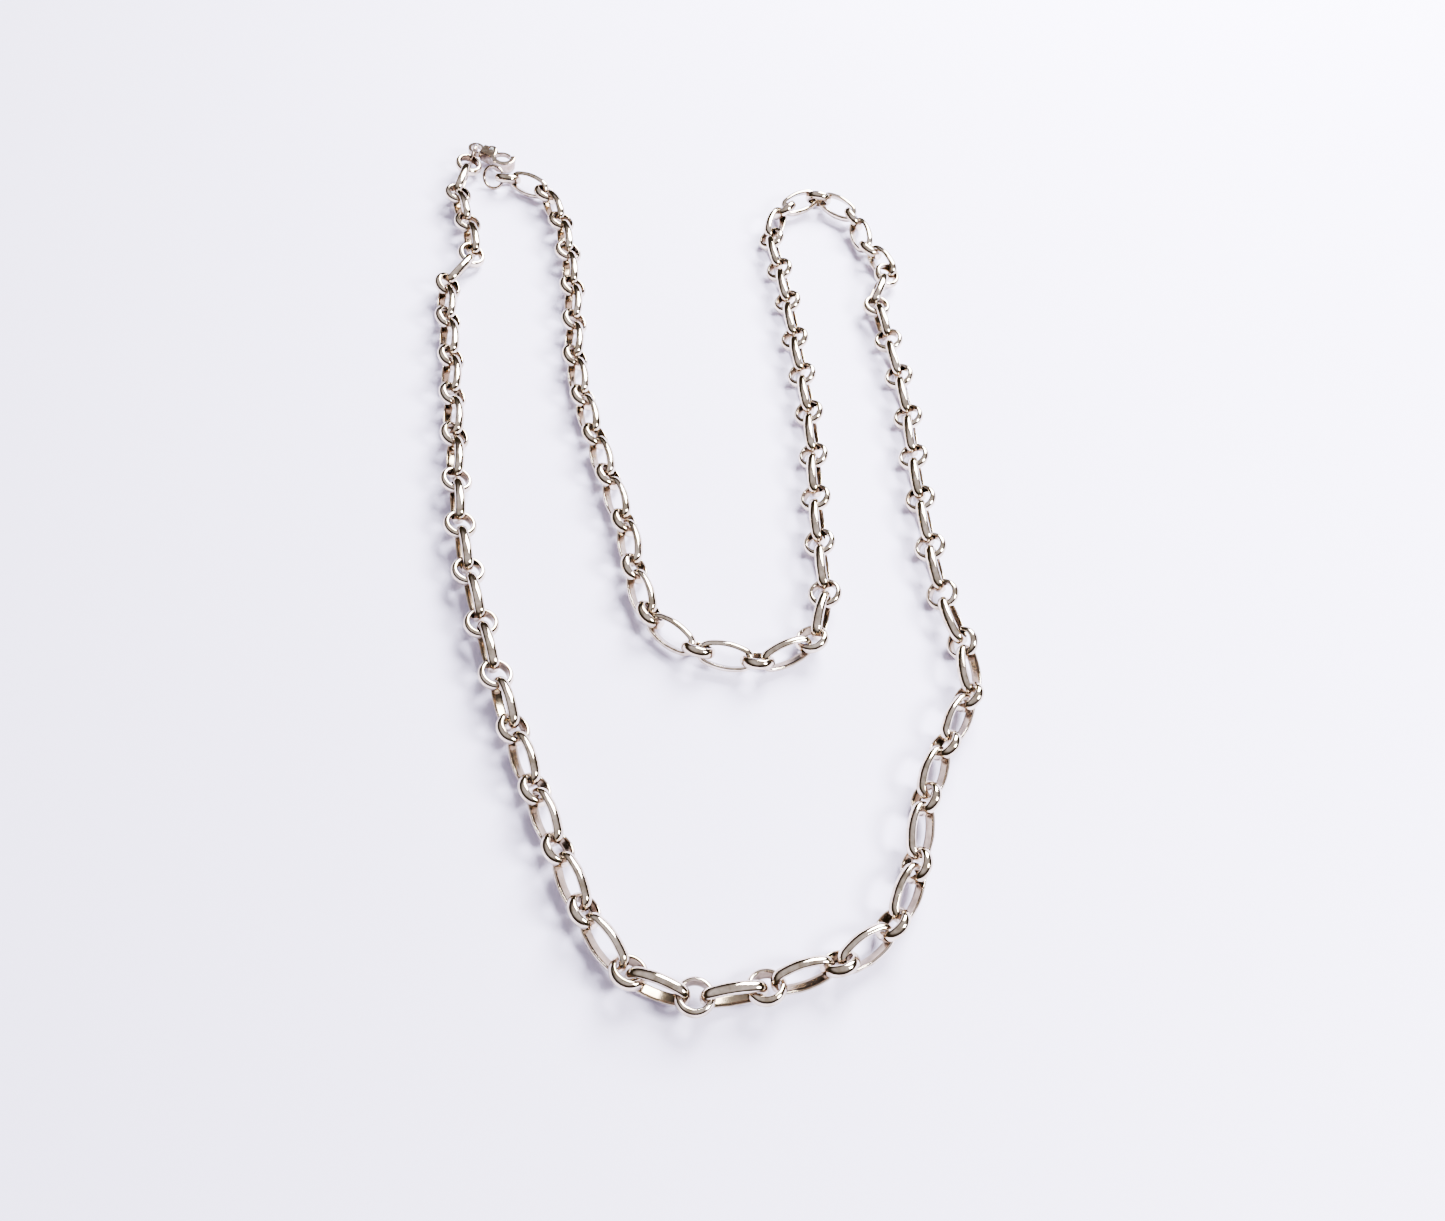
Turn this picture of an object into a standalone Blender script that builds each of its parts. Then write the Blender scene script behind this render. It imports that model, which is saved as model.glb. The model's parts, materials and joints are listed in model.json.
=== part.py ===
"""A long-and-short belcher necklace with a lobster clasp, laid out unfastened in a double loop.

Round rings and long oval links alternate, each turned a quarter turn from its neighbours. Both are bent
from half-round wire with the flat side inwards. A few links at a time form one chain section; the sections
hinge on each other where one link passes through the next. Metres, +Z up, the surface at z = 0.
"""

import math

import bmesh
import bpy
import numpy as np
from mathutils import Matrix, Vector

MM = 0.001

# wire and links, mm: an oval's round end leaves LONG_ROOM beside the band passing through it, and a ring's
# hole leaves RING_ROOM between the two oval ends in it
BAND_WIDTH = 1.7
BAND_THICK = 0.8
DOME_SHARE = 0.5
RING_ROOM = 1.45
LONG_HOLE = 7.4
LONG_ROOM = 0.7
LONG_BOW = 0.35

# links in each chain section, from the clasp end; sections meet only where the chain lies nearly straight
SECTION_LINKS = [
    3, 7, 3, 3, 3, 3, 3, 3, 3, 3, 3, 3, 3, 3, 3, 3, 3, 3, 3, 3,
    3, 3, 4, 6, 3, 3, 3, 3, 3, 3, 3, 5, 3, 3, 3, 3, 3, 3, 3, 3, 3,
]

# seats between links, mm: in a section a block fills the seat, bites into both bands and stands out past
# their edges
JOIN_BITE = 0.285
JOIN_MARGIN = 0.1
HINGE_CLEARANCE = 0.74
SURFACE_LIFT = 0.03
BEND_SLACK = 0.65

# facets and the steps of the laid-out course
RING_STEPS = 10
END_STEPS = 5
SIDE_STEPS = 4
ROUTE_STEP = 0.05
CURVE_POINTS = 60
FIT_ROUNDS = 16
SHARP_EDGE = 35.0
ROUNDED_EDGE = 40.0

# jump rings at the two ends, mm
JUMP_OUTER = 5.0
JUMP_WIRE = 0.7
JUMP_STEPS = 16
JUMP_SIDES = 8
JUMP_CLEARANCE = 0.55
END_DROOP = 22.0

# clasp, mm: x runs from the eye to the nose, y across, z through the thickness
CLASP_THICK = 2.4
CLASP_ROUND = 0.25
EYE_CLEARANCE = 0.75
EYE_WALL = 0.6
EYE_THICK = 1.0
EYE_SHOULDER = 0.35
STEM_LENGTH = 3.4
CLAW_OUTER = 2.6
CLAW_INNER = 1.55
NOSE_ANGLE = 38.0
PIVOT_BACK = 0.3
PIVOT_UP = 0.9
PIN_RADIUS = 0.35
PIN_GAP = 0.3
BOSS_WALL = 0.4
LEVER_THICK = 0.8
LEVER_GAP = 0.3
LEVER_OUTER_INSET = 0.42
LEVER_INNER_INSET = 0.1
LEVER_BOSS_INSET = 0.2
LEVER_TIP_BEVEL = 18.0
THUMB_TAB = [(-0.2, 1.9), (-0.75, 1.8)]
SLOT_BACK = 1.3
SLOT_FORWARD = 2.0
SLOT_FLOOR = -0.95
SPRING_THICK = 0.2
SPRING_LENGTH = 1.6
SPRING_BACK = 0.9
CLASP_TURN = -13.0
CLASP_PITCH = 8.0

# the chain's course on the surface, mm, from the clasp end round to the free end
ROUTE = [
    (-51.4, 79.8), (-51.7, 69.8), (-47.0, 59.5), (-44.3, 52.0), (-47.0, 42.6), (-44.6, 33.0), (-41.9, 24.1),
    (-36.8, 5.8), (-30.9, -14.2), (-22.9, -32.7), (-13.9, -50.3), (-3.3, -68.4), (3.0, -77.0), (10.4, -81.4),
    (19.7, -80.9), (28.0, -77.2), (36.8, -72.9), (42.0, -64.6), (43.2, -56.0), (44.9, -46.7), (48.6, -37.6),
    (51.2, -29.4), (48.3, -20.2), (45.6, -10.9), (42.3, 8.2), (39.9, 27.1), (35.4, 46.5), (33.2, 54.8),
    (36.5, 62.5), (31.0, 69.2), (28.0, 77.6), (19.8, 81.6), (12.7, 73.6), (12.9, 64.4), (15.7, 54.8),
    (19.7, 36.2), (23.5, 17.4), (25.6, -1.9), (27.9, -22.4), (21.6, -30.6), (12.4, -31.3), (3.8, -28.6),
    (-1.4, -20.6), (-4.4, -10.9), (-12.2, 6.6), (-19.4, 24.9), (-23.2, 43.0), (-28.1, 60.4), (-31.9, 68.6),
    (-36.8, 75.2), (-44.4, 75.9),
]

# brings the middle of the laid-out necklace to the origin, mm
ROUTE_OFFSET = (0.69, -0.84)

# how far the long links lean, degrees, at a share of the way along the chain: 0 is flat, 90 is on edge, and
# past 90 the right-hand side stands higher
LEAN = [
    (0.00, 72), (0.05, 60), (0.065, 45), (0.12, 45), (0.14, 68), (0.19, 78), (0.22, 48), (0.265, 42),
    (0.28, 68), (0.295, 83), (0.32, 38), (0.36, 32), (0.405, 36), (0.43, 60), (0.51, 66), (0.54, 108),
    (0.565, 132), (0.58, 146), (0.60, 146), (0.625, 118), (0.74, 116), (0.76, 105), (0.775, 118),
    (0.79, 140), (0.81, 138), (0.92, 130), (0.955, 112), (0.975, 118), (1.00, 130),
]

COURSE_SCALES = (0.4, 2.5)

SILVER = (0.80, 0.77, 0.73, 1.0)
SILVER_ROUGHNESS = 0.18
STEEL = (0.55, 0.55, 0.56, 1.0)
STEEL_ROUGHNESS = 0.3

# what follows from the sizes above, mm
END_INNER = (BAND_WIDTH + LONG_ROOM) / 2
END_DIP = END_INNER - math.sqrt(END_INNER**2 - (BAND_WIDTH / 2) ** 2)
RING_CHORD = 2 * BAND_THICK + RING_ROOM + END_DIP
RING_INNER = math.hypot(RING_CHORD, BAND_WIDTH) / 2
RING_DIP = RING_INNER - RING_CHORD / 2
SEAT_DIPS = RING_DIP + END_DIP
RING_SEAT = RING_INNER - SEAT_DIPS / 2
LONG_SEAT = (LONG_HOLE - SEAT_DIPS) / 2
LONG_REACH = LONG_HOLE / 2 - END_INNER
LINK_PAIR = 2 * RING_INNER + LONG_HOLE + 4 * BAND_THICK
JUMP_RADIUS = (JUMP_OUTER - JUMP_WIRE) / 2
EYE_HOLE = JUMP_WIRE / 2 + EYE_CLEARANCE
EYE_RADIUS = EYE_HOLE + EYE_WALL
CLAW_X = EYE_RADIUS + STEM_LENGTH + CLAW_OUTER
BOSS_RADIUS = PIN_RADIUS + PIN_GAP + BOSS_WALL
PIVOT = (EYE_RADIUS + STEM_LENGTH - PIVOT_BACK, PIVOT_UP)


def clear_scene():
    for thing in list(bpy.data.objects):
        bpy.data.objects.remove(thing, do_unlink=True)


def material(name, colour, roughness):
    made = bpy.data.materials.new(name)
    made.use_nodes = True
    shader = made.node_tree.nodes["Principled BSDF"]
    shader.inputs["Base Color"].default_value = colour
    shader.inputs["Metallic"].default_value = 1.0
    shader.inputs["Roughness"].default_value = roughness
    return made


def band_mesh(name, spine):
    """A closed band of half-round wire; spine holds its inner face's points and outward directions."""
    half = BAND_WIDTH / 2
    dome = half * DOME_SHARE
    section = [(0.0, -half), (BAND_THICK, -dome), (BAND_THICK, dome), (0.0, half)]
    bm = bmesh.new()
    rows = []
    for (x, y), (nx, ny) in spine:
        corners = [Vector((x + nx * out, y + ny * out, z)) for out, z in section]
        rows.append([bm.verts.new(corner * MM) for corner in corners])
    for i, row in enumerate(rows):
        after = rows[(i + 1) % len(rows)]
        for j in range(len(section)):
            k = (j + 1) % len(section)
            bm.faces.new((row[j], row[k], after[k], after[j]))
    bmesh.ops.triangulate(bm, faces=bm.faces[:])
    bmesh.ops.recalc_face_normals(bm, faces=bm.faces[:])
    mesh = bpy.data.meshes.new(name)
    bm.to_mesh(mesh)
    bm.free()
    return mesh


def ring_mesh():
    spine = []
    for i in range(RING_STEPS):
        a = 2 * math.pi * i / RING_STEPS
        out = (math.cos(a), math.sin(a))
        spine.append(((RING_INNER * out[0], RING_INNER * out[1]), out))
    return band_mesh("ring", spine)


def long_mesh():
    """An oval link: round ends, and long sides that bow out a little."""
    spine = []
    for side in (1, -1):
        for i in range(END_STEPS + 1):
            a = math.pi * (i / END_STEPS - 0.5)
            out = (side * math.cos(a), side * math.sin(a))
            spine.append(((side * LONG_REACH + END_INNER * out[0], END_INNER * out[1]), out))
        for i in range(1, SIDE_STEPS):
            share = 1 - 2 * i / SIDE_STEPS
            bow = LONG_BOW * (1 - share**2)
            spine.append(((side * LONG_REACH * share, side * (END_INNER + bow)), (0.0, side)))
    return band_mesh("long_link", spine)


def joined(name, pieces):
    """One mesh from links that rest on each other: pieces is a list of (mesh, matrix)."""
    temporary = []
    for i, (mesh, matrix) in enumerate(pieces):
        copy = mesh.copy()
        copy.transform(matrix)
        piece = bpy.data.objects.new(f"{name}_piece_{i}", copy)
        bpy.context.collection.objects.link(piece)
        temporary.append(piece)
    for piece in temporary[1:]:
        union = temporary[0].modifiers.new("join", "BOOLEAN")
        union.operation = "UNION"
        union.solver = "EXACT"
        union.object = piece
    depsgraph = bpy.context.evaluated_depsgraph_get()
    mesh = bpy.data.meshes.new_from_object(temporary[0].evaluated_get(depsgraph))
    mesh.name = name
    for piece in temporary:
        bpy.data.objects.remove(piece, do_unlink=True)
    return mesh


def smooth_route(scale):
    """The course as many close points, even steps apart: a Catmull-Rom curve through ROUTE."""
    points = (np.array(ROUTE, dtype=float) + ROUTE_OFFSET) * scale
    points = np.vstack([2 * points[0] - points[1], points, 2 * points[-1] - points[-2]])
    shares = np.linspace(0, 1, CURVE_POINTS, endpoint=False)[:, None]
    curves = []
    for a, b, c, d in zip(points, points[1:], points[2:], points[3:]):
        line = 2 * b + (c - a) * shares
        square = (2 * a - 5 * b + 4 * c - d) * shares**2
        cube = (3 * b - a - 3 * c + d) * shares**3
        curves.append((line + square + cube) / 2)
    fine = np.vstack([*curves, points[-2:-1]])
    along = np.concatenate([[0], np.cumsum(np.linalg.norm(np.diff(fine, axis=0), axis=1))])
    even = np.arange(0, along[-1], ROUTE_STEP)
    return np.column_stack([np.interp(even, along, fine[:, 0]), np.interp(even, along, fine[:, 1])])


def turn_at(fine, i):
    """How far the course turns at a seat between two links, in radians."""
    reach = round(LINK_PAIR / 4 / ROUTE_STEP)
    low = max(0, i - reach)
    high = min(len(fine) - 1, i + reach)
    before = fine[i] - fine[low]
    after = fine[high] - fine[i]
    cross = before[0] * after[1] - before[1] * after[0]
    return abs(math.atan2(cross, float(before @ after)))


def seats_along(fine):
    """Where the seats come on the course and the slack at each, or None if the course is too short."""
    window = round(LINK_PAIR / ROUTE_STEP)
    hinges = set(np.cumsum(SECTION_LINKS)[:-1].tolist())
    seats = [0]
    gaps = [HINGE_CLEARANCE]
    for number in range(1, sum(SECTION_LINKS) + 1):
        base = 2 * (RING_SEAT if number % 2 else LONG_SEAT)
        here = seats[-1]
        ahead = np.linalg.norm(fine[here:here + window] - fine[here], axis=1)
        near = here + int(np.argmax(ahead >= base - HINGE_CLEARANCE / 2))
        gap = BEND_SLACK * turn_at(fine, near)
        if number in hinges:
            gap += HINGE_CLEARANCE
        past = ahead >= base - (gaps[-1] + gap) / 2
        if not past.any():
            return None
        seats.append(here + int(np.argmax(past)))
        gaps.append(gap)
    return seats, gaps


def fitted_course():
    """The course at the scale at which the chain's links just fill it, with the seats and their slacks."""
    low, high = COURSE_SCALES
    for _ in range(FIT_ROUNDS):
        middle = (low + high) / 2
        if seats_along(smooth_route(middle)) is None:
            low = middle
        else:
            high = middle
    fine = smooth_route(high)
    return fine, *seats_along(fine)


def lean_at(share):
    shares, angles = zip(*LEAN)
    return math.radians(float(np.interp(share, shares, angles)))


def drop(inner, lean):
    """Height of a link's centre over its lowest point when its plane leans from flat by lean."""
    half = BAND_WIDTH / 2
    section = [(0.0, half), (BAND_THICK, half * DOME_SHARE)]
    return max((inner + out) * abs(math.sin(lean)) + z * abs(math.cos(lean)) for out, z in section)


def axis_height(lean):
    """Height of the chain's middle line: whichever link stands taller rests on the surface."""
    return max(drop(END_INNER + LONG_BOW, lean), drop(RING_INNER, lean + math.pi / 2)) + SURFACE_LIFT


def walk_chain():
    """The seats' places and slacks in mm, and the links as (is a ring, matrix in metres)."""
    fine, seats, gaps = fitted_course()
    last = len(fine) - 1
    places = [Vector((*fine[i], axis_height(lean_at(i / last)))) for i in seats]
    links = []
    for k in range(sum(SECTION_LINKS)):
        is_ring = k % 2 == 0
        start, end = places[k], places[k + 1]
        direction = (end - start).normalized()
        side = Vector((0, 0, 1)).cross(direction).normalized()
        up = direction.cross(side)
        lean = lean_at((seats[k] + seats[k + 1]) / 2 / last)
        if is_ring:
            lean += math.pi / 2
        across = side * math.cos(lean) + up * math.sin(lean)
        normal = direction.cross(across)
        centre = start + direction * ((start - end).length / 2 + (gaps[k + 1] - gaps[k]) / 4)
        turn = Matrix((direction, across, normal)).transposed().to_4x4()
        links.append((is_ring, Matrix.Translation(centre * MM) @ turn))
    return places, gaps, links


def join_mesh(gap):
    """The block that fills the seat between two links of one section whose bands stand gap apart, mm."""
    length = (SEAT_DIPS + gap + 2 * JOIN_BITE) * MM
    width = (BAND_WIDTH + 2 * JOIN_MARGIN) * MM
    bm = bmesh.new()
    bmesh.ops.create_cube(bm, size=1.0, matrix=Matrix.Diagonal((length, width, width, 1)))
    mesh = bpy.data.meshes.new("seat_fill")
    bm.to_mesh(mesh)
    bm.free()
    return mesh


def add_object(name, mesh, finish, origin):
    """Place a mesh given in world metres as an object whose origin is at origin."""
    made = bpy.data.objects.new(name, mesh)
    bpy.context.collection.objects.link(made)
    mesh.transform(Matrix.Translation(-Vector(origin)))
    made.location = origin
    mesh.materials.clear()
    mesh.materials.append(finish)
    mesh.shade_smooth()
    mesh.set_sharp_from_angle(angle=math.radians(SHARP_EDGE))


def build_chain(finish):
    places, gaps, links = walk_chain()
    meshes = {True: ring_mesh(), False: long_mesh()}
    last = 0
    for number, count in enumerate(SECTION_LINKS, start=1):
        first, last = last, last + count
        name = f"chain_section_{number:02d}"
        pieces = [(meshes[is_ring], matrix) for is_ring, matrix in links[first:last]]
        for k in range(first + 1, last):
            turn = links[k][1].to_3x3().to_4x4()
            block = (join_mesh(gaps[k]), Matrix.Translation(places[k] * MM) @ turn)
            pieces.insert(2 * (k - first) - 1, block)
        hinge = places[last] if number < len(SECTION_LINKS) / 2 else places[first]
        add_object(name, joined(name, pieces), finish, hinge * MM)
    return links


def wire_ring_mesh(name):
    """A round wire bent to a jump ring in the local XY plane."""
    bm = bmesh.new()
    rows = []
    for i in range(JUMP_STEPS):
        a = 2 * math.pi * i / JUMP_STEPS
        row = []
        for j in range(JUMP_SIDES):
            b = 2 * math.pi * (j + 0.5) / JUMP_SIDES
            out = JUMP_RADIUS + JUMP_WIRE / 2 * math.cos(b)
            corner = Vector((out * math.cos(a), out * math.sin(a), JUMP_WIRE / 2 * math.sin(b)))
            row.append(bm.verts.new(corner * MM))
        rows.append(row)
    for i, row in enumerate(rows):
        after = rows[(i + 1) % JUMP_STEPS]
        for j in range(JUMP_SIDES):
            k = (j + 1) % JUMP_SIDES
            bm.faces.new((row[j], row[k], after[k], after[j]))
    bmesh.ops.recalc_face_normals(bm, faces=bm.faces[:])
    mesh = bpy.data.meshes.new(name)
    bm.to_mesh(mesh)
    bm.free()
    return mesh


def jump_reach():
    """From a chain ring's centre to the centre of the jump ring through it."""
    return RING_INNER - JUMP_WIRE / 2 - JUMP_CLEARANCE + JUMP_RADIUS


def jump_matrix(link_matrix, sign, droop):
    """A jump ring through a chain ring, a quarter turn from it, off its end on the sign side of its X.

    Its far side hangs down by droop degrees, and it never reaches below the surface."""
    seat = Matrix.Translation(link_matrix.translation)
    level = link_matrix.to_3x3().to_4x4() @ Matrix.Rotation(math.pi / 2, 4, "X")
    away = link_matrix.to_3x3() @ Vector((sign, 0, 0))
    side = Vector((0, 0, 1)).cross(away)
    hang = Matrix.Rotation(math.radians(droop), 4, side)
    hold = (jump_reach() - JUMP_RADIUS) * MM
    centre = Matrix.Translation(away * hold + (hang @ away) * JUMP_RADIUS * MM)
    placed = seat @ centre @ hang @ level
    slant = math.sqrt(1 - placed.col[2].z ** 2)
    lowest = (JUMP_RADIUS * slant + JUMP_WIRE / 2) * MM
    placed.translation.z = max(placed.translation.z, lowest)
    return placed


def arc(centre, radius, start, end, steps):
    """Points of an arc, angles in degrees."""
    points = []
    for i in range(steps + 1):
        a = math.radians(start + (end - start) * i / steps)
        points.append((centre[0] + radius * math.cos(a), centre[1] + radius * math.sin(a)))
    return points


def plate(name, outline, thick, middle=0.0):
    """A flat plate of the outline, mm, its thickness centred on z = middle."""
    bm = bmesh.new()
    low = [bm.verts.new((x * MM, y * MM, (middle - thick / 2) * MM)) for x, y in outline]
    face = bm.faces.new(low)
    pushed = bmesh.ops.extrude_face_region(bm, geom=[face])
    moved = [v for v in pushed["geom"] if isinstance(v, bmesh.types.BMVert)]
    bmesh.ops.translate(bm, verts=moved, vec=(0, 0, thick * MM))
    bmesh.ops.recalc_face_normals(bm, faces=bm.faces[:])
    mesh = bpy.data.meshes.new(name)
    bm.to_mesh(mesh)
    bm.free()
    return mesh


def box_outline(x0, x1, y0, y1):
    return [(x0, y0), (x1, y0), (x1, y1), (x0, y1)]


def cut(name, mesh, cutters, bevel=0.0):
    """The mesh with its edges rounded by bevel, mm, less each cutter mesh."""
    base = bpy.data.objects.new(name, mesh)
    bpy.context.collection.objects.link(base)
    if bevel:
        rounding = base.modifiers.new("round", "BEVEL")
        rounding.width = bevel * MM
        rounding.segments = 2
        rounding.limit_method = "ANGLE"
        rounding.angle_limit = math.radians(ROUNDED_EDGE)
    helpers = []
    for i, cutter in enumerate(cutters):
        helper = bpy.data.objects.new(f"{name}_cutter_{i}", cutter)
        bpy.context.collection.objects.link(helper)
        helper.hide_render = True
        helper.display_type = "WIRE"
        helpers.append(helper)
        difference = base.modifiers.new("cut", "BOOLEAN")
        difference.operation = "DIFFERENCE"
        difference.solver = "EXACT"
        difference.object = helper
    depsgraph = bpy.context.evaluated_depsgraph_get()
    made = bpy.data.meshes.new_from_object(base.evaluated_get(depsgraph))
    made.name = name
    for thing in [base, *helpers]:
        bpy.data.objects.remove(thing, do_unlink=True)
    return made


def clasp_body_mesh():
    """Eye, slotted stem and open claw in one casting."""
    claw = (CLAW_X, 0.0)
    eye = (EYE_RADIUS, 0.0)
    outline = arc(eye, EYE_RADIUS, 50, 310, 14)
    outline += arc(claw, CLAW_OUTER, 215, 360 + NOSE_ANGLE, 16)
    outline += arc(claw, CLAW_INNER, 360 + NOSE_ANGLE, 170, 14)
    outline += arc(PIVOT, BOSS_RADIUS, 10, 150, 7)
    body = plate("clasp_body", outline, CLASP_THICK)
    eye_hole = plate("eye_hole", arc(eye, EYE_HOLE, 0, 345, 23), 2 * CLASP_THICK)
    pin_hole = plate("pin_hole", arc(PIVOT, PIN_RADIUS + PIN_GAP, 0, 330, 11), 2 * CLASP_THICK)
    flats = []
    for side in (-1, 1):
        middle = side * (EYE_THICK / 2 + CLASP_THICK / 2)
        flat = box_outline(-EYE_RADIUS, 2 * EYE_RADIUS - EYE_SHOULDER, -2 * EYE_RADIUS, 2 * EYE_RADIUS)
        flats.append(plate("eye_flat", flat, CLASP_THICK, middle))
    slot_width = LEVER_THICK + 2 * LEVER_GAP
    slot_outline = box_outline(PIVOT[0] - SLOT_BACK, PIVOT[0] + SLOT_FORWARD, SLOT_FLOOR, 2 * CLAW_OUTER)
    slot = plate("slot", slot_outline, slot_width)
    return cut("clasp_body", body, [eye_hole, pin_hole, *flats, slot], bevel=CLASP_ROUND)


def lever_mesh():
    """The claw's closing arm, with its boss round the pin and a thumb tab.

    The tip's outer corner is taken off, so that it swings in past the nose."""
    claw = (CLAW_X, 0.0)
    outer = CLAW_OUTER - LEVER_OUTER_INSET
    inner = CLAW_INNER + LEVER_INNER_INSET
    tip = NOSE_ANGLE + math.degrees(LEVER_GAP / CLAW_INNER)
    outline = arc(claw, outer, tip + LEVER_TIP_BEVEL, 140, 8)
    outline += [(PIVOT[0] + x, PIVOT[1] + y) for x, y in THUMB_TAB]
    outline += arc(PIVOT, BOSS_RADIUS - LEVER_BOSS_INSET, 150, 300, 8)
    outline += arc(claw, inner, 150, tip, 8)
    lever = plate("clasp_lever", outline, LEVER_THICK)
    pin_hole = plate("lever_hole", arc(PIVOT, PIN_RADIUS + PIN_GAP, 0, 330, 11), 2 * CLASP_THICK)
    return cut("clasp_lever", lever, [pin_hole])


def spring_mesh():
    """A leaf spring on the slot's floor under the lever's boss."""
    bottom = SLOT_FLOOR + LEVER_GAP
    start = PIVOT[0] - SPRING_BACK
    outline = box_outline(start, start + SPRING_LENGTH, bottom, bottom + SPRING_THICK)
    return plate("clasp_spring", outline, LEVER_THICK)


def pin_mesh():
    return plate("clasp_pin", arc(PIVOT, PIN_RADIUS, 0, 330, 11), CLASP_THICK)


def clasp_matrix(jump):
    """The clasp's eye hangs on the far side of the jump ring, and its nose rests on the surface."""
    radius = JUMP_RADIUS * MM
    pitch = math.radians(CLASP_PITCH)
    nose_reach = CLAW_X + CLAW_OUTER - EYE_RADIUS
    height = (nose_reach * math.sin(pitch) + CLASP_THICK / 2 * math.cos(pitch)) * MM
    far = -jump.col[0].to_3d()
    rise = jump.col[1].to_3d()
    angle = math.asin((height - jump.translation.z) / (radius * rise.z))
    wire = jump.translation + (far * math.cos(angle) + rise * math.sin(angle)) * radius
    turn = Matrix.Rotation(math.radians(CLASP_TURN), 4, "Z") @ Matrix.Rotation(pitch, 4, "Y")
    return Matrix.Translation(wire) @ turn @ Matrix.Translation((-EYE_RADIUS * MM, 0, 0))


def build_clasp(links, finish, steel):
    first_ring = links[0][1]
    last_ring = links[-1][1]
    jump = jump_matrix(first_ring, -1, 0.0)
    for name, matrix in (("jump_ring", jump), ("end_ring", jump_matrix(last_ring, 1, END_DROOP))):
        mesh = wire_ring_mesh(name)
        mesh.transform(matrix)
        add_object(name, mesh, finish, matrix.translation)
    place = clasp_matrix(jump)
    pivot = place @ Vector((PIVOT[0] * MM, PIVOT[1] * MM, 0))
    pieces = (
        ("clasp_body", clasp_body_mesh(), finish, place.translation),
        ("clasp_lever", lever_mesh(), finish, pivot),
        ("clasp_pin", pin_mesh(), steel, pivot),
        ("clasp_spring", spring_mesh(), steel, pivot),
    )
    for name, mesh, look, origin in pieces:
        mesh.transform(place)
        add_object(name, mesh, look, origin)


clear_scene()
silver = material("silver", SILVER, SILVER_ROUGHNESS)
steel = material("spring_steel", STEEL, STEEL_ROUGHNESS)
build_clasp(build_chain(silver), silver, steel)
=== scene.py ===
"""The looks of a long-and-short belcher necklace: every ring and oval link, both jump rings and the clasp."""

import json
import math

import bmesh
import bpy
import numpy as np
from mathutils import Matrix, Vector


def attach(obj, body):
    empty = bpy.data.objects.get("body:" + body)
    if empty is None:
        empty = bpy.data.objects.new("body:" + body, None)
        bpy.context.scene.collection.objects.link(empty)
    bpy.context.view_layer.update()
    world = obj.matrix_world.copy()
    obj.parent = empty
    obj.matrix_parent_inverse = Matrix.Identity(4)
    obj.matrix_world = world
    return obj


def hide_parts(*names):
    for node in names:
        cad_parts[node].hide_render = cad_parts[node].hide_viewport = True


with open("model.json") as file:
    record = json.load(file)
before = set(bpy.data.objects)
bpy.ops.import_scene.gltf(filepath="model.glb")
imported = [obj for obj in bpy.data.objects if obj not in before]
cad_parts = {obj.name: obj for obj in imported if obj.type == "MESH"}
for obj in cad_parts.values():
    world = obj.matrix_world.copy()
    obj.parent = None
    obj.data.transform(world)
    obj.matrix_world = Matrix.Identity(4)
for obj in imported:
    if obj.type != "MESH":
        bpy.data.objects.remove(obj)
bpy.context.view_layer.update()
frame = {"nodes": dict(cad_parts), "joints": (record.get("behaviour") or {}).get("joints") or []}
nodes = frame["nodes"]
joints = {joint["name"]: joint for joint in frame["joints"]}
MM = 0.001


class Value:
    """A shader socket with arithmetic: + - * / build Math nodes, and node() any other kind.

    An input is given by its name, with _ for a space, or as i0, i1 ... by its number."""

    def __init__(self, tree, socket):
        self.tree = tree
        self.socket = socket

    def node(self, kind, settings=None, output=0, **inputs):
        made = self.tree.nodes.new(kind)
        for key, value in (settings or {}).items():
            setattr(made, key, value)
        for key, value in inputs.items():
            numbered = key[0] == "i" and key[1:].isdigit()
            socket = made.inputs[int(key[1:]) if numbered else key.replace("_", " ")]
            if isinstance(value, Value):
                self.tree.links.new(value.socket, socket)
            else:
                socket.default_value = value
        return Value(self.tree, made.outputs[output])

    def math(self, operation, first, second=0.0):
        return self.node("ShaderNodeMath", {"operation": operation}, i0=first, i1=second)

    def __add__(self, other):
        return self.math("ADD", self, other)

    def __radd__(self, other):
        return self.math("ADD", other, self)

    def __sub__(self, other):
        return self.math("SUBTRACT", self, other)

    def __rsub__(self, other):
        return self.math("SUBTRACT", other, self)

    def __mul__(self, other):
        return self.math("MULTIPLY", self, other)

    def __rmul__(self, other):
        return self.math("MULTIPLY", other, self)

    def __truediv__(self, other):
        return self.math("DIVIDE", self, other)

    def __rtruediv__(self, other):
        return self.math("DIVIDE", other, self)


# Camera
# It looks down on the laid-out necklace from in front of the bend, a little rolled.
CAMERA_PLACE = (0.01372, -0.11903, 0.14478)
CAMERA_DOWN = 56.34
CAMERA_TURN = -0.45
CAMERA_ROLL = 6.8
CAMERA_LENS = 27.4
CAMERA_SENSOR = 36.0
CAMERA_NEAR = 0.005
eye = bpy.data.cameras.new("camera")
eye.lens = CAMERA_LENS
eye.sensor_width = CAMERA_SENSOR
eye.clip_start = CAMERA_NEAR
camera = bpy.data.objects.new("camera", eye)
bpy.context.scene.collection.objects.link(camera)
camera.matrix_world = (
    Matrix.Translation(CAMERA_PLACE)
    @ Matrix.Rotation(math.radians(-CAMERA_TURN), 4, "Z")
    @ Matrix.Rotation(math.radians(90 - CAMERA_DOWN), 4, "X")
    @ Matrix.Rotation(math.radians(CAMERA_ROLL), 4, "Z")
)
bpy.context.scene.camera = camera

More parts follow.
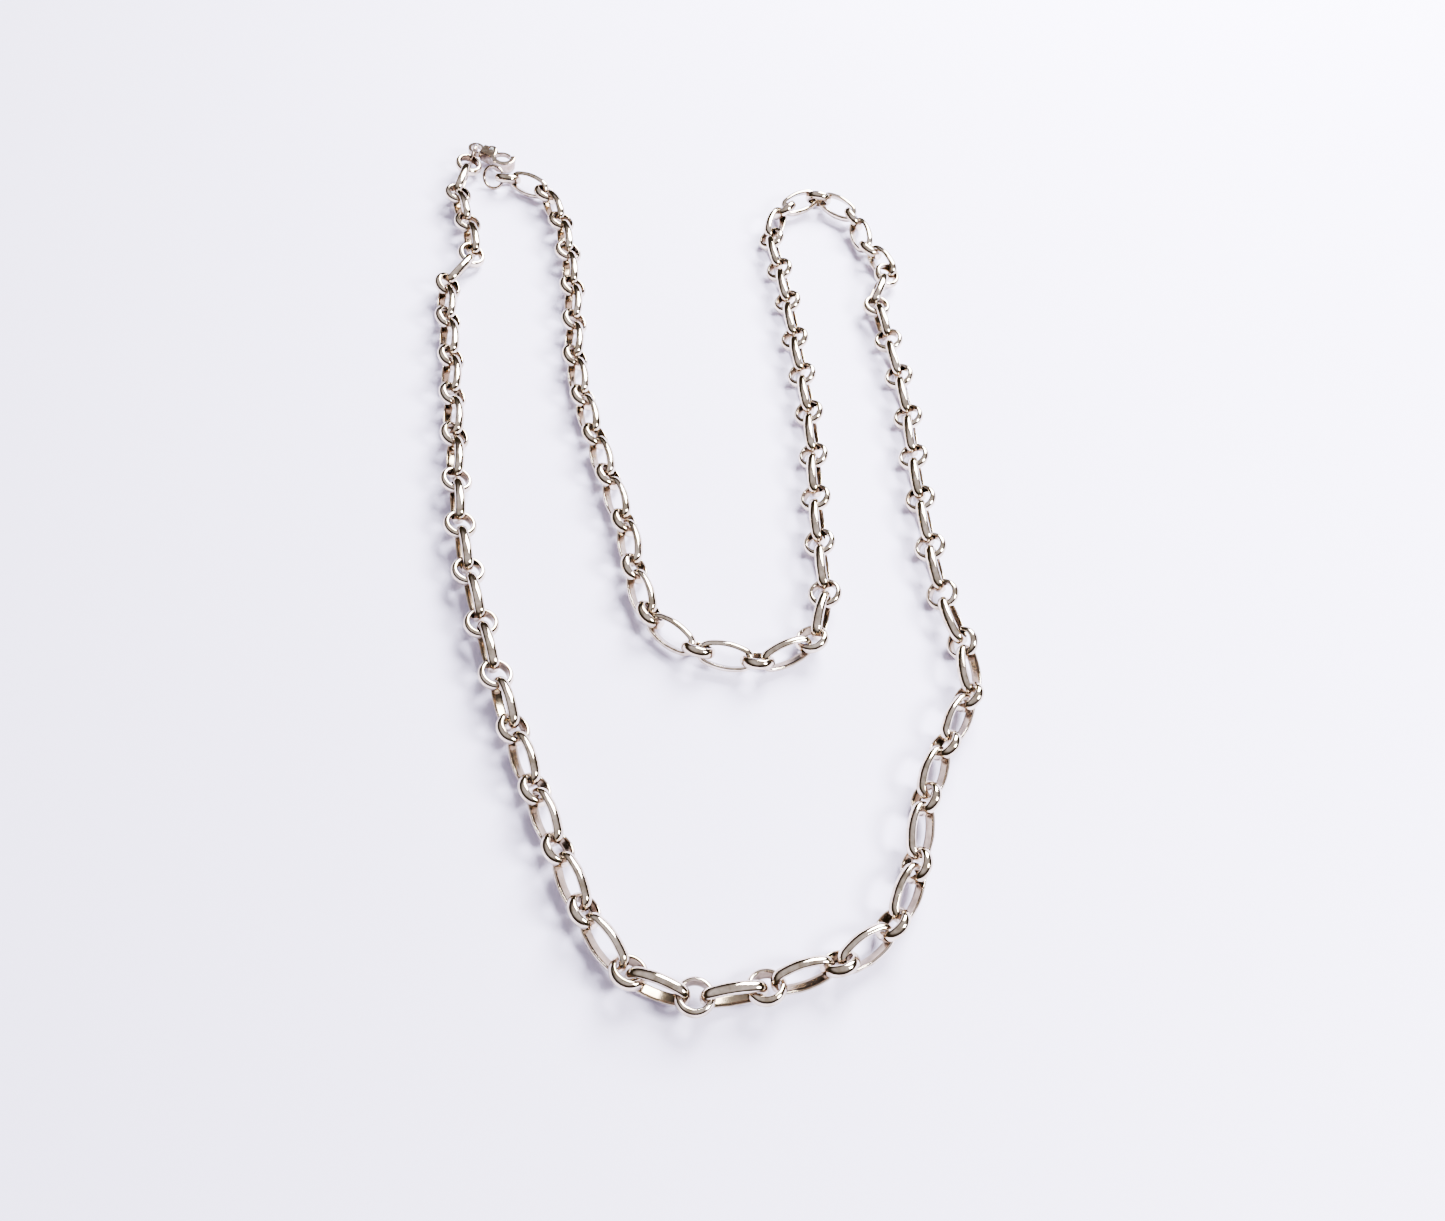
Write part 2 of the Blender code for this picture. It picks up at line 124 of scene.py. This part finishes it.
# Surface
# A sheet of smooth white paper with a touch of lavender and a faint, uneven fibre tone.
FLOOR_SIZE = 1.6
FLOOR_PLACE = (0, 0.1, -0.0001)
PAPER_DARK = (0.72, 0.68, 0.935, 1)
PAPER_PALE = (0.77, 0.735, 0.975, 1)
MOTTLE_SCALE = 14.0
FIBRE_SCALE = 900.0
FIBRE_SHARE = 0.3
PAPER_ROUGHNESS = 0.85
PAPER_SHINE = 0.1
bpy.ops.mesh.primitive_plane_add(size=FLOOR_SIZE, location=FLOOR_PLACE)
floor = bpy.context.object
floor.name = "paper"
paper = bpy.data.materials.new("paper")
paper.use_nodes = True
sheet = paper.node_tree.nodes["Principled BSDF"]
grain = Value(paper.node_tree, None)
spot = grain.node("ShaderNodeTexCoord", output=3)
mottle = grain.node("ShaderNodeTexNoise", Vector=spot, Scale=MOTTLE_SCALE, Detail=4.0)
fibres = grain.node("ShaderNodeTexNoise", Vector=spot, Scale=FIBRE_SCALE, Detail=2.0)
share = (1 - FIBRE_SHARE) * mottle + FIBRE_SHARE * fibres
tint = grain.node("ShaderNodeMix", {"data_type": "RGBA"}, output=2, i0=share, i6=PAPER_DARK, i7=PAPER_PALE)
paper.node_tree.links.new(tint.socket, sheet.inputs["Base Color"])
sheet.inputs["Roughness"].default_value = PAPER_ROUGHNESS
sheet.inputs["Specular IOR Level"].default_value = PAPER_SHINE
floor.data.materials.append(paper)

# Light
# A room that is bright overhead and warm brown towards the horizon, a soft lamp in front on the right that
# throws the shadows to the left, and a wide window behind on the right that brightens the far side.
HORIZON = (0.045, 0.032, 0.018, 1)
OVERHEAD = (0.93, 0.88, 0.94, 1)
GLOW_FROM = 0.45
GLOW_FULL = 0.80
LAMPS = (
    ("front_lamp", (0.34, -0.10, 0.27), 0.12, 7.5),
    ("window", (0.16, 0.38, 0.32), 0.28, 24.0),
)
room = bpy.data.worlds.new("room")
bpy.context.scene.world = room
room.use_nodes = True
backdrop = room.node_tree.nodes["Background"]
sky = Value(room.node_tree, None)
height = sky.node("ShaderNodeSeparateXYZ", output=2, i0=sky.node("ShaderNodeTexCoord", output=0))
climb = sky.node("ShaderNodeMapRange", Value=height, From_Min=GLOW_FROM, From_Max=GLOW_FULL)
glow = sky.node("ShaderNodeMix", {"data_type": "RGBA"}, output=2, i0=climb, i6=HORIZON, i7=OVERHEAD)
room.node_tree.links.new(glow.socket, backdrop.inputs["Color"])
backdrop.inputs["Strength"].default_value = 1.0
for lamp_name, place, size, power in LAMPS:
    lamp = bpy.data.lights.new(lamp_name, "AREA")
    lamp.size = size
    lamp.energy = power
    made = bpy.data.objects.new(lamp_name, lamp)
    bpy.context.scene.collection.objects.link(made)
    made.location = place
    made.rotation_euler = (-Vector(place)).to_track_quat("-Z", "Y").to_euler()


# Silver
# Polished sterling, worn: bright where it is rubbed and browner where it is tarnished, with fine scratches.
# The inner faces of the links are painted much darker than the outer ones: partly tarnish where polishing
# doesn't reach, and partly painted shade for the hollow insides of the links.
CLOUD_SCALE = 420.0
WORN_FROM = 0.38
WORN_FULL = 0.64
GRAIN_ROUGHENS = 0.08
CLOUD_POLISHES = 0.03
SCRATCH_STRENGTH = 0.06
SCRATCH_DEPTH = 0.00004


def silver(name, colour, tarnish, roughness, grain_scale):
    made = bpy.data.materials.new(name)
    made.use_nodes = True
    shader = made.node_tree.nodes["Principled BSDF"]
    start = Value(made.node_tree, None)
    where = start.node("ShaderNodeTexCoord", output=3)
    cloud = start.node("ShaderNodeTexNoise", Vector=where, Scale=CLOUD_SCALE, Detail=3.0, Roughness=0.6)
    fine = start.node("ShaderNodeTexNoise", Vector=where, Scale=grain_scale, Detail=4.0, Roughness=0.7)
    worn = start.node("ShaderNodeMapRange", Value=cloud, From_Min=WORN_FROM, From_Max=WORN_FULL)
    tone = start.node("ShaderNodeMix", {"data_type": "RGBA"}, output=2, i0=worn, i6=tarnish, i7=colour)
    rough = roughness + GRAIN_ROUGHENS * fine - CLOUD_POLISHES * cloud
    made.node_tree.links.new(tone.socket, shader.inputs["Base Color"])
    made.node_tree.links.new(rough.socket, shader.inputs["Roughness"])
    bump = start.node("ShaderNodeBump", Height=fine, Strength=SCRATCH_STRENGTH, Distance=SCRATCH_DEPTH)
    made.node_tree.links.new(bump.socket, shader.inputs["Normal"])
    shader.inputs["Metallic"].default_value = 1.0
    return made


outer_silver = silver("silver_outside", (0.80, 0.69, 0.57, 1), (0.42, 0.345, 0.25, 1), 0.05, 2600.0)
# The inside material is painted shade: its colours are much darker than the outside's, standing in for the
# shade inside the links, along with some tarnish.
inner_silver_painted_shade = silver("silver_inside_painted_shade", (0.30, 0.235, 0.165, 1), (0.16, 0.122, 0.08, 1), 0.12, 3400.0)

# Chain links
# Rings and long ovals of half-round silver band, flat side inwards, alternately turned a quarter turn and
# soldered shut. Each link's place is found in its section's solid: its corner points are matched to the
# solid's, walking along the chain from the clasp to the free end. Sizes in mm.
BAND_WIDTH = 1.7
BAND_THICK = 0.8
DOME_SHARE = 0.5
RING_INNER = 1.902
OVAL_REACH = 2.5
OVAL_INNER = 1.2
OVAL_BOW = 0.35
RING_HALF = 1.48
OVAL_HALF = 3.27
RING_FACETS = 10
OVAL_END_FACETS = 5
OVAL_SIDE_FACETS = 4
NEAR_SEAT = 11.0
FIRST_LEAN = math.radians(162)
SWINGS = np.radians(np.arange(-60, 61, 12))
TIPS = np.radians((-24, -8, 8, 24))
BEST_STARTS = 5
START_MISFIT_CAP = 0.9
MISFIT_CAP = 0.3
REACHES = (1.0, 0.7, 0.5, 0.3, 0.2, 0.15, 0.1)
AT_HINGE = 1.0
MOST_LINKS = 140
SMOOTH_RING_FACETS = 48
SMOOTH_OVAL_FACETS = 14
OVAL_SMOOTHINGS = 3
EDGE_IN = 0.03
EDGE_DOWN = 0.02
EDGE_ROUND = 0.08
INNER_MIDDLE = 0.4
DOME_STEPS = 10
DOME_POWER = 0.8


def spine(is_ring, ring_facets, end_facets, side_facets):
    """Points of a link's inner face and the outward directions there."""
    if is_ring:
        turns = [2 * math.pi * i / ring_facets for i in range(ring_facets)]
        outs = [(math.cos(a), math.sin(a)) for a in turns]
        return [((RING_INNER * x, RING_INNER * y), (x, y)) for x, y in outs]
    points = []
    for side in (1, -1):
        for i in range(end_facets + 1):
            a = math.pi * (i / end_facets - 0.5)
            out = (side * math.cos(a), side * math.sin(a))
            points.append(((side * OVAL_REACH + OVAL_INNER * out[0], OVAL_INNER * out[1]), out))
        for i in range(1, side_facets):
            share = 1 - 2 * i / side_facets
            bow = OVAL_BOW * (1 - share**2)
            points.append(((side * OVAL_REACH * share, side * (OVAL_INNER + bow)), (0.0, side)))
    return points


def corner_points(is_ring):
    half = BAND_WIDTH / 2
    section = [(0, -half), (BAND_THICK, -half * DOME_SHARE), (BAND_THICK, half * DOME_SHARE), (0, half)]
    rows = spine(is_ring, RING_FACETS, OVAL_END_FACETS, OVAL_SIDE_FACETS)
    return np.array([(x + nx * out, y + ny * out, z) for (x, y), (nx, ny) in rows for out, z in section])


corners_of_kind = {True: corner_points(True), False: corner_points(False)}


def spread(points, corners):
    """Distance from each point to the nearest corner, and which corner it is."""
    apart = ((points[:, None] - corners[None]) ** 2).sum(axis=2)
    nearest = apart.argmin(axis=1)
    return np.sqrt(apart[np.arange(len(points)), nearest]), nearest


def settle(points, corners, turn, place):
    """Slide a rigid set of points onto the corners; returns the misfit, the turn and the place."""
    for reach in REACHES:
        off, nearest = spread(points @ turn.T + place, corners)
        close = off < max(reach, np.sort(off)[len(off) // 3] + 1e-6)
        here = points[close]
        there = corners[nearest[close]]
        left, _, right = np.linalg.svd((here - here.mean(0)).T @ (there - there.mean(0)))
        flip = np.diag([1, 1, np.sign(np.linalg.det(right.T @ left.T))])
        turn = right.T @ flip @ left.T
        place = there.mean(0) - turn @ here.mean(0)
    off, _ = spread(points @ turn.T + place, corners)
    return float(np.minimum(off, MISFIT_CAP).mean()), turn, place


def find_link(is_ring, seat, heading, lean, corners):
    """Best fit of a link that starts at a seat: headings fan out about one, leans about another (radians)."""
    points = corners_of_kind[is_ring]
    near = corners[np.linalg.norm(corners - seat, axis=1) < NEAR_SEAT]
    half = RING_HALF if is_ring else OVAL_HALF
    starts = []
    for swing in SWINGS:
        along = np.array([
            heading[0] * math.cos(swing) - heading[1] * math.sin(swing),
            heading[0] * math.sin(swing) + heading[1] * math.cos(swing),
            0.0,
        ])
        side = np.cross([0, 0, 1.0], along)
        for tip in TIPS:
            across = side * math.cos(lean + tip) + np.array([0, 0, math.sin(lean + tip)])
            turn = np.column_stack([along, across, np.cross(along, across)])
            off, _ = spread(points[::3] @ turn.T + seat + along * half, near)
            misfit = float(np.minimum(off, START_MISFIT_CAP).sum())
            starts.append((misfit, len(starts), turn, seat + along * half))
    starts.sort(key=lambda start: start[:2])
    fits = [settle(points, near, turn, place) for _, _, turn, place in starts[:BEST_STARTS]]
    return min(fits, key=lambda fit: fit[0])[1:]


def walk_links():
    """Every link as (section, is a ring, turn, place), from the clasp's end to the free end."""
    sections = sorted(name for name in nodes if name.startswith("chain_section_"))
    stops = [f"link_{i:02d}_to_{i + 1:02d}" for i in range(1, len(sections))] + ["end_ring_swing"]
    seat = np.array(joints["jump_ring_swing"]["pos_m"]) / MM
    lean = FIRST_LEAN
    heading = None
    is_ring = True
    found = []
    for section, stop in zip(sections, stops):
        node = nodes[section]
        corners = np.array([list(node.matrix_world @ v.co) for v in node.data.vertices]) / MM
        end = np.array(joints[stop]["pos_m"]) / MM
        if heading is None:
            heading = (end - seat) * (1, 1, 0)
            heading /= np.linalg.norm(heading)
        while np.linalg.norm((seat - end)[:2]) > AT_HINGE and len(found) < MOST_LINKS:
            turn, place = find_link(is_ring, seat, heading, lean, corners)
            heading = (place - seat) * (1, 1, 0)
            heading /= np.linalg.norm(heading)
            across = turn[:, 1]
            lean = math.atan2(across[2], across @ np.cross([0, 0, 1.0], heading))
            found.append((section, is_ring, turn, place))
            far = place - seat
            seat = place + far / np.linalg.norm(far) * (RING_HALF if is_ring else OVAL_HALF)
            lean += math.pi / 2
            is_ring = not is_ring
        seat = end
    return found


def band_mesh(name, is_ring):
    """A smooth band: a flat inside with eased edges and a domed outside."""
    half = BAND_WIDTH / 2
    eased = half - EDGE_ROUND
    section = [(EDGE_IN, EDGE_DOWN - half)]
    section += [(0.0, z) for z in (-eased, -half * INNER_MIDDLE, half * INNER_MIDDLE, eased)]
    for i in range(DOME_STEPS):
        a = math.pi * i / DOME_STEPS
        rise = EDGE_IN + (BAND_THICK - EDGE_IN) * math.sin(a) ** DOME_POWER
        section.append((rise, (half - EDGE_DOWN) * math.cos(a)))
    rows = spine(is_ring, SMOOTH_RING_FACETS, SMOOTH_OVAL_FACETS, SMOOTH_OVAL_FACETS)
    middle = np.array([point for point, _ in rows])
    for _ in range(0 if is_ring else OVAL_SMOOTHINGS):
        middle = (np.roll(middle, 1, axis=0) + 2 * middle + np.roll(middle, -1, axis=0)) / 4
    ahead = np.roll(middle, -1, axis=0) - np.roll(middle, 1, axis=0)
    outward = np.column_stack([ahead[:, 1], -ahead[:, 0]]) / np.linalg.norm(ahead, axis=1)[:, None]
    bm = bmesh.new()
    made = []
    for (x, y), (nx, ny) in zip(middle, outward):
        made.append([bm.verts.new(((x + nx * out) * MM, (y + ny * out) * MM, z * MM)) for out, z in section])
    for i, row in enumerate(made):
        after = made[(i + 1) % len(made)]
        for j in range(len(section)):
            k = (j + 1) % len(section)
            face = bm.faces.new((row[j], row[k], after[k], after[j]))
            face.smooth = True
            # The flat inner faces take the inside material, which is painted shade for the hollows inside the
            # links.
            face.material_index = 1 if j in (1, 2, 3) else 0
    bmesh.ops.recalc_face_normals(bm, faces=bm.faces[:])
    mesh = bpy.data.meshes.new(name)
    bm.to_mesh(mesh)
    bm.free()
    mesh.materials.append(outer_silver)
    mesh.materials.append(inner_silver_painted_shade)
    return mesh


link_meshes = {True: band_mesh("ring", True), False: band_mesh("oval", False)}
for number, (section, is_ring, turn, place) in enumerate(walk_links(), start=1):
    name = f"{'ring' if is_ring else 'oval'}_{number:03d}"
    link = bpy.data.objects.new(name, link_meshes[is_ring])
    bpy.context.scene.collection.objects.link(link)
    link.matrix_world = Matrix.Translation(Vector(place) * MM) @ Matrix(turn.tolist()).to_4x4()
    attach(link, section)
    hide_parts(section)

# Jump ring and end ring
# Round silver wire bent to a ring and closed; one holds the clasp's eye, the other takes its claw.
WIRE_SIDES = 16
WIRE_STEPS = 56
wire_silver = silver("silver_wire", (0.55, 0.46, 0.38, 1), (0.25, 0.19, 0.14, 1), 0.08, 2600.0)
for wire_name in ("jump_ring", "end_ring"):
    solid = nodes[wire_name]
    corners = np.array([list(solid.matrix_world @ v.co) for v in solid.data.vertices])
    centre = corners.mean(axis=0)
    normal = np.linalg.svd(corners - centre)[2][2]
    flat_part = (corners - centre) - np.outer((corners - centre) @ normal, normal)
    reaches = np.linalg.norm(flat_part, axis=1)
    wire = (reaches.max() - reaches.min()) / 2
    radius = (reaches.max() + reaches.min()) / 2
    bpy.ops.mesh.primitive_torus_add(
        major_radius=radius, minor_radius=wire, major_segments=WIRE_STEPS, minor_segments=WIRE_SIDES
    )
    loop = bpy.context.object
    loop.name = f"{wire_name}_wire"
    loop.data.shade_smooth()
    loop.data.materials.append(wire_silver)
    turn = Vector(normal).to_track_quat("Z", "Y").to_matrix().to_4x4()
    loop.matrix_world = Matrix.Translation(centre) @ turn
    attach(loop, wire_name)
    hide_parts(wire_name)

# Clasp
# A cast and tumbled silver body and lever, with a turned steel pin and a steel leaf spring in the slot.
cast_silver = silver("silver_cast", (0.58, 0.50, 0.42, 1), (0.24, 0.18, 0.13, 1), 0.12, 1800.0)
spring_steel = silver("steel", (0.62, 0.62, 0.63, 1), (0.45, 0.45, 0.46, 1), 0.25, 3000.0)
SHARP_FROM = math.radians(40)
EASE_STEPS = 2
CLASP = (
    ("clasp_body", "clasp", cast_silver, "silver", 0.00008),
    ("clasp_lever", "lever", cast_silver, "silver", 0.00008),
    ("clasp_pin", "clasp", spring_steel, "spring_steel", 0.00004),
    ("clasp_spring", "clasp", spring_steel, "spring_steel", 0.00002),
)
for piece_name, body, finish, slot_name, ease in CLASP:
    mesh = nodes[piece_name].data.copy()
    mesh.materials.clear()
    mesh.materials.append(finish)
    mesh.shade_smooth()
    mesh.set_sharp_from_angle(angle=SHARP_FROM)
    piece = bpy.data.objects.new(f"{piece_name}_look", mesh)
    bpy.context.scene.collection.objects.link(piece)
    piece.matrix_world = nodes[piece_name].matrix_world.copy()
    edges = piece.modifiers.new("eased_edges", "BEVEL")
    edges.width = ease
    edges.segments = EASE_STEPS
    edges.limit_method = "ANGLE"
    edges.angle_limit = SHARP_FROM
    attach(piece, body)
    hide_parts(piece_name)
